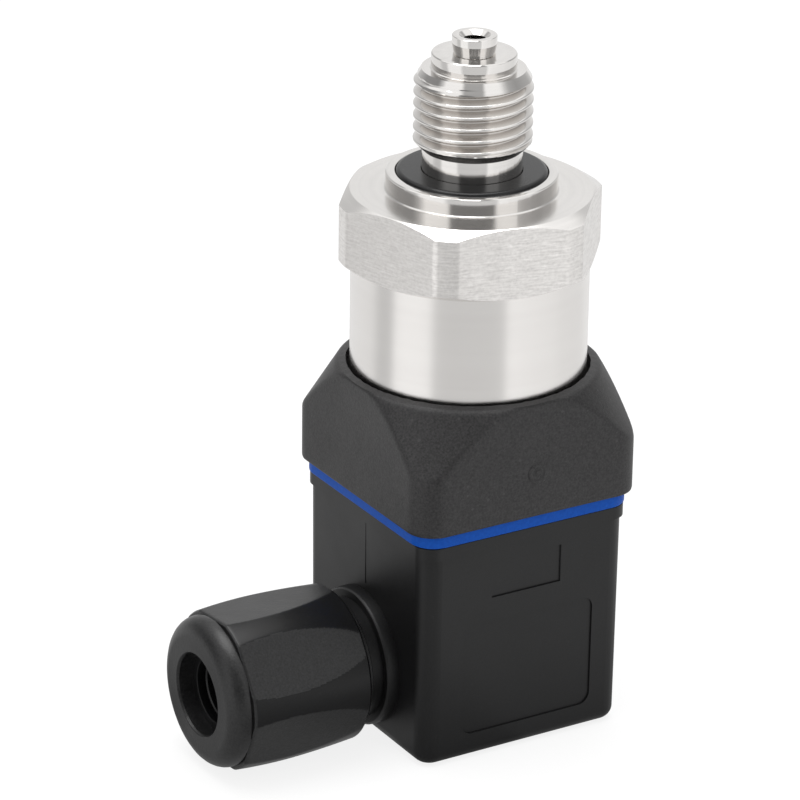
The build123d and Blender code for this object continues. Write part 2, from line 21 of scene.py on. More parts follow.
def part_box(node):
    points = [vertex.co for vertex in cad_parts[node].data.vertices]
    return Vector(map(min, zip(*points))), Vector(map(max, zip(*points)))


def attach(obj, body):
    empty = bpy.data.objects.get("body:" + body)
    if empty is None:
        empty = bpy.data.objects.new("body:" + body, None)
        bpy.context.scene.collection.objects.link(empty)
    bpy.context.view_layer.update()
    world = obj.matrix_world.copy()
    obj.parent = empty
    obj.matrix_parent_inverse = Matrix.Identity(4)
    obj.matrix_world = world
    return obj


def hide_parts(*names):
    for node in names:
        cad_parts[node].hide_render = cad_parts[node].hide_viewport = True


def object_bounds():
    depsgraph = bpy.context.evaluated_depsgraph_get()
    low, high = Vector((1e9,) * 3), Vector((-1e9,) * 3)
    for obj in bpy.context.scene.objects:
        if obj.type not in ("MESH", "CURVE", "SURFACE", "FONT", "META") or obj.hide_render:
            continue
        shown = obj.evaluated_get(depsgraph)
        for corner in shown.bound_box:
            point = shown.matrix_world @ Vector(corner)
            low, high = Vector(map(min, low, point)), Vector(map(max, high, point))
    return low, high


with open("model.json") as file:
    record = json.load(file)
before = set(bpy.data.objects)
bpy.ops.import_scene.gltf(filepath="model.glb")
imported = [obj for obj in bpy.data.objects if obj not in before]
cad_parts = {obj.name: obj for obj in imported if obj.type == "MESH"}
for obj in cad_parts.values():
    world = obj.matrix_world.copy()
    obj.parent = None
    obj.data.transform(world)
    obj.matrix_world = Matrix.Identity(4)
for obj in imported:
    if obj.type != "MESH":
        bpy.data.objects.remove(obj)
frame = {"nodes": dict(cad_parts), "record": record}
cad_box = [list(corner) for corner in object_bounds()]
slot_of = {part["node"]: part["material_slot"] for part in frame["record"]["subparts"]}

# %% [markdown]
# The camera
#
# A photograph fixes where the camera stood. The edges of the hexagon, the case and the
# plug give its place, its heading, its tilt and a little roll. The long lens is given as
# a focal length in pixels, and Blender wants millimetres on its 36 mm sensor, so one is
# worked out from the other. The Standard view shows a colour as it is written.

# %% Camera
MM = 0.001
picture_width = 800
focal_pixels = 4254.0
camera_place = Vector((-232.75, -371.76, 158.35)) * MM
camera_heading = radians(-31.067)
camera_tilt = radians(90.0 - 22.961)
camera_roll = radians(0.806)

camera_data = bpy.data.cameras.new("camera")
camera_data.sensor_width = 36.0
camera_data.lens = focal_pixels * camera_data.sensor_width / picture_width
camera_data.clip_start = 0.01
camera_data.clip_end = 10.0
camera = bpy.data.objects.new("camera", camera_data)
turn = Matrix.Rotation(camera_heading, 4, "Z") @ Matrix.Rotation(camera_tilt, 4, "X")
camera.matrix_world = (Matrix.Translation(camera_place) @ turn
                       @ Matrix.Rotation(camera_roll, 4, "Z"))
bpy.context.scene.collection.objects.link(camera)
bpy.context.scene.camera = camera
bpy.context.scene.view_settings.view_transform = "Standard"
camera_azimuth = atan2(camera_place.y, camera_place.x)
print("lens", round(camera_data.lens, 1), "mm")

# %% [markdown]
# A short way to write shader nodes
#
# A material is a tree of nodes. Written out in full, each node takes several lines, so
# one helper makes a node, sets its options and either links or sets each input. Short ones
# build on it for the nodes that come up again and again. A pattern that several materials
# use becomes a group, and two more helpers open and close one.

# %% Node helpers
def add(tree, kind, inputs=None, **options):
    """Add a node. An input is a socket to link from, or a plain value to set."""
    made = tree.nodes.new(kind)
    for name, value in options.items():
        setattr(made, name, value)
    for name, value in (inputs or {}).items():
        if isinstance(value, bpy.types.NodeSocket):
            tree.links.new(value, made.inputs[name])
        else:
            made.inputs[name].default_value = value
    return made


def calc(tree, operation, first, second=0.0, third=0.0):
    """One Math node; returns its output socket."""
    inputs = {0: first, 1: second, 2: third}
    return add(tree, "ShaderNodeMath", inputs, operation=operation).outputs[0]


def ramp(tree, factor, low, high, start=0.0, end=1.0):
    """Bring a value from low..high to start..end, held at both ends."""
    inputs = {"Value": factor, "From Min": low, "From Max": high, "To Min": start,
              "To Max": end}
    return add(tree, "ShaderNodeMapRange", inputs, clamp=True).outputs["Result"]


def mix(tree, factor, first, second):
    """One Mix node for numbers; returns its output socket."""
    inputs = {"Factor": factor, "A": first, "B": second}
    return add(tree, "ShaderNodeMix", inputs).outputs["Result"]


def noise_of(tree, point, scale, detail, roughness=0.5):
    """One Noise texture; returns its value."""
    inputs = {"Vector": point, "Scale": scale, "Detail": detail, "Roughness": roughness}
    return add(tree, "ShaderNodeTexNoise", inputs).outputs["Fac"]


def split(tree, vector):
    """The X, the Y and the Z of a vector."""
    return add(tree, "ShaderNodeSeparateXYZ", {"Vector": vector}).outputs


def length(tree, vector):
    """The length of a vector."""
    return add(tree, "ShaderNodeVectorMath", {0: vector}, operation="LENGTH").outputs["Value"]


def start_group(name, inputs, outputs):
    """An empty shader node group with named sockets; returns it with its two end nodes."""
    group = bpy.data.node_groups.new(name, "ShaderNodeTree")
    for label, kind, value in inputs:
        socket = group.interface.new_socket(label, in_out="INPUT", socket_type=kind)
        if value is not None:
            socket.default_value = value
    for label, kind in outputs:
        group.interface.new_socket(label, in_out="OUTPUT", socket_type=kind)
    return group, group.nodes.new("NodeGroupInput"), group.nodes.new("NodeGroupOutput")


def end_group(group, outs, results):
    """Link each result to the output of its name."""
    for label, socket in results.items():
        group.links.new(socket, outs.inputs[label])
    print(group.name, len(group.nodes), "nodes")


def use_group(tree, group, inputs):
    """Place a node group in a tree and give it its inputs."""
    return add(tree, "ShaderNodeGroup", inputs, node_tree=group)


# %% [markdown]
# The light
#
# Polished steel has no colour of its own to show: it shows the studio. The bright bands
# on the threads and the case are two large softboxes, left and right of the camera, and
# the darker streak between them is the unlit room behind the camera. A group turns a
# direction into two brightnesses, one for what stands above the table and one for the
# table top, which mirrors the same softboxes more faintly. Each is a colour ramp round
# the compass, with the camera in its middle. A third brightness is for the ceiling, where
# only the camera's side is darker.

# %% Studio group
VECTOR = "NodeSocketVector"
FLOAT = "NodeSocketFloat"

above_table = [(-180, 0.86), (-150, 0.6), (-118, 0.3), (-85, 0.25), (-72, 0.5), (-66, 1.0),
               (-31, 1.0), (-27, 0.2), (30, 0.2), (35, 0.97), (59, 0.96), (71, 0.46),
               (100, 0.34), (135, 0.45), (165, 0.86), (180, 0.86)]
on_table = [(-180, 0.84), (-150, 0.84), (-120, 0.82), (-102, 0.8), (-90, 0.6), (-77, 0.6),
            (-70, 0.99), (-36, 0.99), (-30, 0.66), (32, 0.67), (37, 1.0), (50, 0.94),
            (84, 0.88), (96, 0.83), (125, 0.8), (150, 0.88), (180, 0.84)]
gap_level, gap_ahead, gap_aside = 0.42, (0.05, 0.25), (0.25, 0.35)


def compass_ramp(tree, factor, stops):
    """A colour ramp whose stops are (degrees from the camera, brightness)."""
    made = add(tree, "ShaderNodeValToRGB", {"Fac": factor})
    band = made.color_ramp.elements
    for (degrees_off, level), spot in zip(stops[:2], band):
        spot.position = degrees_off / 360 + 0.5
        spot.color = (level, level, level, 1)
    for degrees_off, level in stops[2:]:
        spot = band.new(degrees_off / 360 + 0.5)
        spot.color = (level, level, level, 1)
    return made.outputs["Color"]


studio, ins, outs = start_group("studio_softboxes", [("Direction", VECTOR, None)],
                                [("Above", FLOAT), ("Table", FLOAT), ("Gap", FLOAT)])
heading = add(studio, "ShaderNodeVectorRotate",
              {"Vector": ins.outputs["Direction"], "Angle": -camera_azimuth},
              rotation_type="Z_AXIS")
front, side, _ = split(studio, heading.outputs[0])
compass = calc(studio, "ARCTAN2", side, front)
along = ramp(studio, compass, -pi, pi)
above = compass_ramp(studio, along, above_table)
table = compass_ramp(studio, along, on_table)
beside = ramp(studio, calc(studio, "ABSOLUTE", side), *gap_aside, gap_level, 1.0)
gap = mix(studio, ramp(studio, front, *gap_ahead), 1.0, beside)
end_group(studio, outs, {"Above": above, "Table": table, "Gap": gap})

# %% [markdown]
# The world is white to the camera. To everything else it is the softbox picture, which
# goes over into the ceiling between two heights. Rough surfaces see a little less of it,
# because the lamp overhead adds the rest.

# %% World
ceiling_from, ceiling_full = sin(radians(33)), sin(radians(41))
rough_share = 0.8

world = bpy.data.worlds.new("studio")
bpy.context.scene.world = world
world.use_nodes = True
tree = world.node_tree
tree.nodes.clear()
direction = add(tree, "ShaderNodeTexCoord").outputs["Generated"]
sides = use_group(tree, studio, {"Direction": direction})
_, _, up = split(tree, direction)
overhead = ramp(tree, up, ceiling_from, ceiling_full)
mirrored = mix(tree, overhead, sides.outputs["Above"], sides.outputs["Gap"])
path = add(tree, "ShaderNodeLightPath").outputs
share = ramp(tree, path["Is Glossy Ray"], 0, 1, rough_share, 1.0)
seen = calc(tree, "MULTIPLY", mirrored, share)
plain = calc(tree, "MAXIMUM", path["Is Camera Ray"], path["Is Transmission Ray"])
background = add(tree, "ShaderNodeBackground",
                 {"Color": (1, 1, 1, 1), "Strength": mix(tree, plain, seen, 1.0)})
add(tree, "ShaderNodeOutputWorld", {"Surface": background.outputs[0]})
print("world", len(tree.nodes), "nodes")

# %% [markdown]
# One wide area lamp hangs over the table, a little behind the object. It gives the
# plastic its soft highlights and the floor a faint shadow.

# %% Lamp
def softbox(name, place, target, width, height, power):
    """A rectangular area lamp that looks at a point."""
    data = bpy.data.lights.new(name, "AREA")
    data.shape = "RECTANGLE"
    data.size = width
    data.size_y = height
    data.energy = power
    lamp = bpy.data.objects.new(name, data)
    aim = (Vector(target) - Vector(place)).to_track_quat("-Z", "Y").to_matrix().to_4x4()
    lamp.matrix_world = Matrix.Translation(place) @ aim
    bpy.context.scene.collection.objects.link(lamp)


softbox("lamp_overhead", place=(-0.03, 0.05, 0.6), target=(0.0, 0.0, -0.02), width=0.5,
        height=0.5, power=2.4)

# %% [markdown]
# The floor is a pale board, a hair below the plug's flat end so that the two never share a
# plane. For the camera it is mostly a plain white, and the rest is the board itself, so it
# keeps the object's soft shadow. To a mirror it glows with a painted reflection: bright
# where it would reflect a softbox, greyer between them, and darker close round the plug,
# where a painted shadow of the object lies.

# %% Floor
table_height = cad_box[0][2]
floor_gap, floor_size, board_colour = 5.0e-5, 3.0, (0.82, 0.82, 0.82, 1)
white_lift, shadow_share = 1.17, 0.72
# The painted shadow round the plug that mirrors see: its shape, its place, where it starts and
# ends, and how dark it is.
shade_shape, shade_shift = (0.6, 1.0, 0.0), (0.006, 0.0, 0.0)
shade_near, shade_far, shade_level = 0.016, 0.045, 0.42


def make_floor():
    """One large square just under the plug's flat end."""
    bm = bmesh.new()
    bmesh.ops.create_grid(bm, x_segments=1, y_segments=1, size=floor_size,
                          matrix=Matrix.Translation((0, 0, table_height - floor_gap)))
    mesh = bpy.data.meshes.new("floor")
    bm.to_mesh(mesh)
    bm.free()
    floor = bpy.data.objects.new("floor", mesh)
    bpy.context.scene.collection.objects.link(floor)
    material = bpy.data.materials.new("floor_board")
    material.use_nodes = True
    tree = material.node_tree
    tree.nodes.clear()
    spot = add(tree, "ShaderNodeTexCoord").outputs["Object"]
    cast = use_group(tree, studio, {"Direction": spot})
    path = add(tree, "ShaderNodeLightPath").outputs
    for_camera, for_mirror = path["Is Camera Ray"], path["Is Glossy Ray"]
    seen = calc(tree, "ADD", for_camera, for_mirror)
    board = add(tree, "ShaderNodeBsdfDiffuse", {"Color": board_colour})
    # Painted shadow: what a mirror sees of the floor is darker close round the plug.
    round_plug = add(tree, "ShaderNodeVectorMath", {0: spot, 1: shade_shape, 2: shade_shift},
                     operation="MULTIPLY_ADD")
    away = length(tree, round_plug.outputs[0])
    shade = ramp(tree, away, shade_near, shade_far, shade_level, 1.0)
    # Painted reflection of the softboxes, for mirrors, with the painted shadow on it.
    mirrored = calc(tree, "MULTIPLY", shade, cast.outputs["Table"])
    lifted = mix(tree, for_mirror, white_lift, mirrored)
    glow = add(tree, "ShaderNodeEmission", {"Color": (1, 1, 1, 1), "Strength": lifted})
    shaded = ramp(tree, for_mirror, 0, 1, shadow_share, 1.0)
    mixed = add(tree, "ShaderNodeMixShader", {0: calc(tree, "MULTIPLY", seen, shaded),
                                              1: board.outputs[0], 2: glow.outputs[0]})
    add(tree, "ShaderNodeOutputMaterial", {"Surface": mixed.outputs[0]})
    mesh.materials.append(material)


make_floor()
print("floor at", round((table_height - floor_gap) / MM, 2), "mm")

# %% [markdown]
# Where a pattern lies
#
# Marks from a lathe run round the axis, so their pattern must depend on the distance from
# the axis and on the height, and not on the angle. One group gives those two numbers for
# any point, and the angle apart for marks that run along a face.

# %% Round coordinates group
round_place, ins, outs = start_group(
    "round_coordinates", [("Point", VECTOR, None)], [("Rings", VECTOR), ("Angle", FLOAT)])
x, y, z = split(round_place, ins.outputs["Point"])
level = add(round_place, "ShaderNodeCombineXYZ", {"X": x, "Y": y})
distance = length(round_place, level.outputs[0])
rings = add(round_place, "ShaderNodeCombineXYZ", {"X": distance, "Y": z})
angle = calc(round_place, "ARCTAN2", y, x)
end_group(round_place, outs, {"Rings": rings.outputs[0], "Angle": angle})

# %% [markdown]
# Tool marks
#
# A turned or ground face carries thousands of fine lines. They are noise that is drawn
# out along the cut: the point is scaled strongly across the lines and hardly along them.
# The group gives a height for a Bump node and a mask that moves the roughness.

# %% Tool marks group
tool_marks, ins, outs = start_group(
    "tool_marks",
    [("Point", VECTOR, None), ("Across", VECTOR, (1000.0, 1000.0, 1000.0)),
     ("Detail", FLOAT, 3.0)], [("Height", FLOAT), ("Mask", FLOAT)])
scaled = add(tool_marks, "ShaderNodeVectorMath",
             {0: ins.outputs["Point"], 1: ins.outputs["Across"]}, operation="MULTIPLY")
fine = noise_of(tool_marks, scaled.outputs[0], 1.0, ins.outputs["Detail"], 0.6)
broad = noise_of(tool_marks, scaled.outputs[0], 0.13, 2.0)
end_group(tool_marks, outs, {"Height": fine, "Mask": ramp(tool_marks, broad, 0.3, 0.7)})

# %% [markdown]
# Handling
#
# Nothing that has been held is evenly clean. A slow cloudy pattern dulls some places,
# and a few tiny specks of dust sit on top. Both are masks, so each material decides how
# much they matter.

# %% Handling group
handling, ins, outs = start_group(
    "handling", [("Point", VECTOR, None), ("Cloud size", FLOAT, 90.0),
                 ("Speck size", FLOAT, 1500.0)], [("Cloud", FLOAT), ("Specks", FLOAT)])
cloud = noise_of(handling, ins.outputs["Point"], ins.outputs["Cloud size"], 5.0, 0.6)
dots = add(handling, "ShaderNodeTexVoronoi",
           {"Vector": ins.outputs["Point"], "Scale": ins.outputs["Speck size"],
            "Randomness": 1.0}, feature="F1")
lone = add(handling, "ShaderNodeSeparateColor", {"Color": dots.outputs["Color"]})
rare = ramp(handling, lone.outputs["Red"], 0.965, 0.97)
small = ramp(handling, dots.outputs["Distance"], 0.16, 0.28, 1.0, 0.0)
end_group(handling, outs, {"Cloud": ramp(handling, cloud, 0.35, 0.7),
                           "Specks": calc(handling, "MULTIPLY", rare, small)})

# %% [markdown]
# Moulded grain
#
# A moulded black part takes the texture of its mould: a fine pebble of about a quarter of
# a millimetre. Two sizes of noise added together keep it from looking like a print.

# %% Moulded grain group
moulded_grain, ins, outs = start_group(
    "moulded_grain", [("Point", VECTOR, None), ("Size", FLOAT, 4000.0)],
    [("Height", FLOAT), ("Mottle", FLOAT)])
pebble = noise_of(moulded_grain, ins.outputs["Point"], ins.outputs["Size"], 3.0, 0.65)
coarser = calc(moulded_grain, "MULTIPLY", ins.outputs["Size"], 0.22)
swell = noise_of(moulded_grain, ins.outputs["Point"], coarser, 2.0)
summed = calc(moulded_grain, "MULTIPLY_ADD", swell, 0.6, pebble)
end_group(moulded_grain, outs, {"Height": summed,
                                "Mottle": ramp(moulded_grain, pebble, 0.3, 0.75)})

# %% [markdown]
# Materials
#
# Each finish of the record gets one material. They all start the same way, from a
# Principled shader and the Object coordinates, so a helper hands those out. Object
# coordinates are right here because every piece sits at the origin with its place in
# its mesh: the pattern is in metres and never slides. Three more helpers feed a pattern
# into the relief, the colour and the roughness.

# %% Material start
finishes = {}


def start_material(name):
    """A new material; returns its tree, its shader and its Object coordinates."""
    material = bpy.data.materials.new(name)
    material.use_nodes = True
    tree = material.node_tree
    tree.nodes.clear()
    shader = add(tree, "ShaderNodeBsdfPrincipled")
    add(tree, "ShaderNodeOutputMaterial", {"Surface": shader.outputs["BSDF"]})
    finishes[name] = material
    return tree, shader, add(tree, "ShaderNodeTexCoord").outputs["Object"]


def relief(tree, shader, height, depth):
    """Feed a height into the shader's normal; depth is in metres."""
    bump = add(tree, "ShaderNodeBump", {"Height": height, "Distance": depth, "Strength": 1.0})
    tree.links.new(bump.outputs["Normal"], shader.inputs["Normal"])


def tinted(tree, shader, factor, first, second):
    """Vary the base colour between two colours; the first may be a socket."""
    if isinstance(first, tuple):
        first = (*first, 1.0)
    mixed = add(tree, "ShaderNodeMix", {"Factor": factor, "A": first, "B": (*second, 1.0)},
                data_type="RGBA")
    colour = [out for out in mixed.outputs if out.type == "RGBA"][0]
    tree.links.new(colour, shader.inputs["Base Color"])
    return colour


def roughened(tree, shader, factor, smooth, dull, low=0.0, high=1.0):
    """Bring the roughness from smooth to dull while a factor goes from low to high."""
    tree.links.new(ramp(tree, factor, low, high, smooth, dull), shader.inputs["Roughness"])


# %% [markdown]
# Turned stainless steel
#
# The process connection is turned from one bar and left bright. It is fully metallic and
# nearly a mirror, with rings too fine to count and a slow change of roughness. The roots
# of the thread get a painted shade, so they are darker.

# %% Steel of the process connection
steel_light = (0.90, 0.878, 0.855)
steel_deep = (0.80, 0.782, 0.762)
# The colour of the painted shade in the thread's roots, and how far it fades in at each end.
root_shade_colour = (0.62, 0.59, 0.56)
root_shade_fade = 0.3


def turned_steel(name, rough_low, rough_high, ring_depth, deep=steel_deep, fineness=12000.0,
                 shaded_roots=None):
    """Bright steel with lathe marks round the Z axis.

    shaded_roots is a thread whose roots get a painted shade: its low and high end, its root
    and its crest.
    """
    tree, shader, point = start_material(name)
    shader.inputs["Metallic"].default_value = 1.0
    ring = use_group(tree, round_place, {"Point": point})
    marks = use_group(tree, tool_marks, {"Point": ring.outputs["Rings"],
                                         "Across": (fineness, fineness, 0.0), "Detail": 2.0})
    touch = use_group(tree, handling, {"Point": point})
    wear = calc(tree, "MULTIPLY_ADD", marks.outputs["Mask"], 0.6,
                calc(tree, "MULTIPLY", touch.outputs["Cloud"], 0.4))
    roughened(tree, shader, wear, rough_low, rough_high)
    colour = tinted(tree, shader, wear, steel_light, deep)
    if shaded_roots:
        low, high, root, top = (size * MM for size in shaded_roots)
        reach, height, _ = split(tree, ring.outputs["Rings"])
        threaded = calc(tree, "MULTIPLY", ramp(tree, height, low, low + root_shade_fade * MM),
                        ramp(tree, height, high, high - root_shade_fade * MM))
        # Painted shade: a mask that darkens the colour in the roots of the thread.
        dull = calc(tree, "MULTIPLY", threaded, ramp(tree, reach, top, root))
        tinted(tree, shader, dull, colour, root_shade_colour)
    relief(tree, shader, marks.outputs["Height"], ring_depth)


turned_steel("turned_steel", 0.07, 0.13, 1.2e-6, shaded_roots=(3.2, 10.9, 5.8, 6.5))
finishes["stainless_steel"] = finishes["turned_steel"]
print("finishes", sorted(finishes))

# %% [markdown]
# Milled flats
#
# The flats of the hexagon are milled, so their lines run level along each flat. A second
# set of shorter marks gives them the linen look of the real ones. The chamfers and the
# case are turned, only less brightly than the connection.

# %% Steel of the hexagon
milled_light, milled_deep = (0.99, 0.965, 0.94), (0.74, 0.72, 0.70)
long_marks, short_marks = (7.0, 4600.0, 0.0), (34.0, 2600.0, 0.0)


def milled_steel(name):
    """Steel with long level brush lines and shorter ones among them."""
    tree, shader, point = start_material(name)
    shader.inputs["Metallic"].default_value = 1.0
    ring = use_group(tree, round_place, {"Point": point})
    _, _, height = split(tree, point)
    along = add(tree, "ShaderNodeCombineXYZ", {"X": ring.outputs["Angle"], "Y": height})
    longer = use_group(tree, tool_marks, {"Point": along.outputs[0], "Across": long_marks,
                                          "Detail": 3.0})
    shorter = use_group(tree, tool_marks, {"Point": along.outputs[0], "Across": short_marks,
                                           "Detail": 4.0})
    wear = calc(tree, "MULTIPLY_ADD", longer.outputs["Height"], 0.55,
                calc(tree, "MULTIPLY", shorter.outputs["Height"], 0.45))
    roughened(tree, shader, wear, 0.26, 0.40, low=0.3, high=0.7)
    tinted(tree, shader, ramp(tree, wear, 0.35, 0.65), milled_light, milled_deep)
    relief(tree, shader, wear, 9.0e-6)


milled_steel("milled_steel")
turned_steel("faced_steel", 0.16, 0.24, 1.5e-6)
turned_steel("case_steel", 0.21, 0.235, 0.8e-6, (0.865, 0.84, 0.818), fineness=4200.0)
turned_steel("zinc_steel", 0.30, 0.45, 2.0e-6)
print("materials", len(bpy.data.materials))

# %% [markdown]
# Black plastics
#
# The base and the flats of the nut are grained and dull, the plug and the nut's rounded
# corners are smoother. All are the same recipe with other numbers: a dark base colour, a
# mottle that follows the grain, and specks of dust that lift the colour in a few places.

# %% Plastics
def moulded_plastic(name, dark, light, grain_size, grain_depth, rough_low, rough_high, dust,
                    gloss=0.5):
    """Moulded plastic with a grain, a mottle and a little dust."""
    tree, shader, point = start_material(name)
    shader.inputs["Specular IOR Level"].default_value = gloss
    grain = use_group(tree, moulded_grain, {"Point": point, "Size": grain_size})
    touch = use_group(tree, handling, {"Point": point})
    mottle = calc(tree, "MULTIPLY_ADD", touch.outputs["Specks"], dust, grain.outputs["Mottle"])
    tinted(tree, shader, mottle, dark, light)
    dull = calc(tree, "MULTIPLY_ADD", grain.outputs["Mottle"], 0.4,
                calc(tree, "MULTIPLY", touch.outputs["Cloud"], 0.6))
    roughened(tree, shader, dull, rough_low, rough_high)
    relief(tree, shader, grain.outputs["Height"], grain_depth)


moulded_plastic("base_plastic", (0.012, 0.0115, 0.012), (0.054, 0.052, 0.053), 4200.0, 2.6e-5,
                0.40, 0.56, 4.0, gloss=0.45)
moulded_plastic("plug_plastic", (0.007, 0.007, 0.0075), (0.012, 0.012, 0.0125), 5200.0, 5.0e-6,
                0.34, 0.46, 3.0, gloss=0.4)
moulded_plastic("nut_plastic", (0.007, 0.007, 0.0075), (0.027, 0.027, 0.0275), 4200.0, 2.4e-5,
                0.30, 0.44, 3.0, gloss=0.48)
moulded_plastic("smooth_plastic", (0.006, 0.006, 0.0065), (0.011, 0.011, 0.0115), 5600.0,
                4.0e-6, 0.28, 0.38, 2.0, gloss=0.30)
moulded_plastic("block_plastic", (0.10, 0.10, 0.11), (0.15, 0.15, 0.16), 4200.0, 8.0e-6,
                0.4, 0.55, 1.0)
moulded_plastic("chip_plastic", (0.012, 0.012, 0.012), (0.03, 0.03, 0.03), 9000.0, 5.0e-6,
                0.4, 0.6, 1.0)
moulded_plastic("wire_cover", (0.42, 0.035, 0.03), (0.55, 0.06, 0.05), 6000.0, 4.0e-6,
                0.3, 0.45, 0.5)
print("finishes", sorted(finishes))

# %% [markdown]
# Rubber
#
# Rubber takes the same recipe. The sealing ring is black, dense and a little shiny, with
# dust on it. The gasket is blue through and through and hardly shines.

# %% Rubbers
moulded_plastic("black_rubber", (0.005, 0.005, 0.0055), (0.011, 0.011, 0.0115), 4800.0,
                4.0e-6, 0.20, 0.30, 3.0, gloss=0.36)
moulded_plastic("blue_rubber", (0.004, 0.088, 0.50), (0.007, 0.115, 0.60), 2600.0, 1.2e-5,
                0.40, 0.55, 1.0, gloss=0.15)
print("materials", len(bpy.data.materials))

# %% [markdown]
# Inner finishes
#
# The pieces inside are hidden at rest, but they are part of the object: ground ceramic,
# plated brass, a green circuit board and a plain aluminium can.

# %% Inner finishes
def fine_metal(name, light, deep, rough_low, rough_high):
    """Plated or drawn metal with cloudy wear."""
    tree, shader, point = start_material(name)
    shader.inputs["Metallic"].default_value = 1.0
    touch = use_group(tree, handling, {"Point": point, "Cloud size": 400.0})
    marks = use_group(tree, tool_marks, {"Point": point, "Across": (500.0, 500.0, 7000.0)})
    tinted(tree, shader, touch.outputs["Cloud"], light, deep)
    roughened(tree, shader, marks.outputs["Mask"], rough_low, rough_high)
    relief(tree, shader, marks.outputs["Height"], 2.0e-6)


def ground_ceramic(name):
    """White alumina with a fine grey speckle."""
    tree, shader, point = start_material(name)
    grain = use_group(tree, moulded_grain, {"Point": point, "Size": 7000.0})
    tinted(tree, shader, grain.outputs["Mottle"], (0.82, 0.81, 0.77), (0.9, 0.89, 0.86))
    roughened(tree, shader, grain.outputs["Mottle"], 0.35, 0.5)
    relief(tree, shader, grain.outputs["Height"], 3.0e-6)


def woven_laminate(name):
    """Green laminate whose glass weave shows through the lacquer."""
    tree, shader, point = start_material(name)
    shader.inputs["Coat Weight"].default_value = 0.4
    warp, weft = (add(tree, "ShaderNodeTexWave",
                      {"Vector": point, "Scale": 900.0, "Distortion": 0.6}, wave_type="BANDS",
                      bands_direction=way).outputs["Fac"] for way in "XY")
    cloth = calc(tree, "MULTIPLY", warp, weft)
    tinted(tree, shader, cloth, (0.012, 0.12, 0.045), (0.03, 0.2, 0.09))
    roughened(tree, shader, cloth, 0.3, 0.45)
    relief(tree, shader, cloth, 4.0e-6)


fine_metal("contact_brass", (0.83, 0.68, 0.38), (0.66, 0.5, 0.26), 0.22, 0.4)
fine_metal("capacitor_can", (0.82, 0.82, 0.83), (0.7, 0.7, 0.71), 0.25, 0.4)
ground_ceramic("sensor_ceramic")
woven_laminate("board_laminate")
for name, node in frame["nodes"].items():
    node.data.materials.clear()
    node.data.materials.append(finishes[slot_of[name]])
print("finishes", len(finishes), "on", len(frame["nodes"]), "nodes")

# %% [markdown]
# Modelling helpers
#
# The new pieces are modelled in millimetres and brought to metres once, at the end.
# Most of them are round, so they grow from an open rim: its edges are extruded and the
# new rim is set to the next radius and height. A radius may depend on the angle, which is
# how a round rim becomes a hexagon or a square.

# %% Rims
def rim_of(bm, height, margin=0.004):
    """The open edges that lie at one height."""
    return [e for e in bm.edges if e.is_boundary
            and all(abs(v.co.z - height) < margin for v in e.verts)]


def verts_of(edges):
    """The vertices of some edges, each once."""
    return {v for e in edges for v in e.verts}


def place_verts(verts, radius, height):
    """Set vertices to a radius and a height, each at its own angle."""
    for v in verts:
        angle = atan2(v.co.y, v.co.x)
        r = radius(angle) if callable(radius) else radius
        z = height(angle) if callable(height) else height
        v.co = (r * cos(angle), r * sin(angle), z)


def grow(bm, rim, path):
    """Extrude a rim through (radius, height) steps and return the last rim."""
    for radius, height in path:
        made = bmesh.ops.extrude_edge_only(bm, edges=rim)["geom"]
        verts = {g for g in made if isinstance(g, bmesh.types.BMVert)}
        rim = [g for g in made if isinstance(g, bmesh.types.BMEdge)
               and g.verts[0] in verts and g.verts[1] in verts]
        place_verts(verts, radius, height)
    return rim


def new_rim(bm, segments, radius, height):
    """A first rim: a circle with no face in it."""
    made = bmesh.ops.create_circle(bm, cap_ends=False, segments=segments, radius=1.0)
    place_verts(made["verts"], radius, height)
    return list({e for v in made["verts"] for e in v.link_edges})


# %% [markdown]
# Real edges are never sharp. The corners of an outline are rounded off by arcs before it
# is turned, because the thin highlight along an edge is what makes metal look solid.

# %% Softened outlines
def softened(corners, steps=3):
    """Points of an outline of (radius, height, rounding) corners, with arcs at the corners."""
    path = []
    for i, (r, z, rounding) in enumerate(corners):
        here = Vector((r, z))
        if not rounding:
            path.append((r, z))
            continue
        back = (Vector(corners[i - 1][:2]) - here).normalized()
        ahead = (Vector(corners[(i + 1) % len(corners)][:2]) - here).normalized()
        half = back.angle(ahead) / 2
        centre = here + (back + ahead).normalized() * (rounding / sin(half))
        start = here + back * (rounding / tan(half)) - centre
        end = here + ahead * (rounding / tan(half)) - centre
        for k in range(steps + 1):
            spoke = start.lerp(end, k / steps).normalized() * rounding
            path.append(tuple(centre + spoke))
    return path


def turned(outline, segments):
    """A bmesh turned from a closed outline of (radius, height) points round the Z axis."""
    bm = bmesh.new()
    verts = [bm.verts.new((r, 0.0, z)) for r, z in outline]
    edges = [bm.edges.new(pair) for pair in zip(verts, verts[1:] + verts[:1])]
    bmesh.ops.spin(bm, geom=verts + edges, cent=(0, 0, 0), axis=(0, 0, 1), angle=2 * pi,
                   steps=segments, use_merge=True)
    return bm


# %% [markdown]
# Every new piece ends the same way: doubles are merged, the normals are turned outwards,
# the mesh goes to metres, sharp edges are marked by angle and a Weighted Normal modifier
# keeps the flats flat next to their rounded edges. The helper prints whether the piece is
# closed and how much it holds, which is a quick test of an outline. The pieces of the
# gland are modelled upright too, and laid along -X by one matrix.

# %% Finishing a piece
gland_height = sum(corner.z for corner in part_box("gland_nut")) / 2 / MM
gland_turn = Matrix(((0, 0, -1, 0), (-1, 0, 0, 0), (0, 1, 0, gland_height), (0, 0, 0, 1)))


def box_in_mm(node):
    """The lowest and the highest corner of a node, each as x, y and z in millimetres."""
    return [[size / MM for size in corner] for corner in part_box(node)]


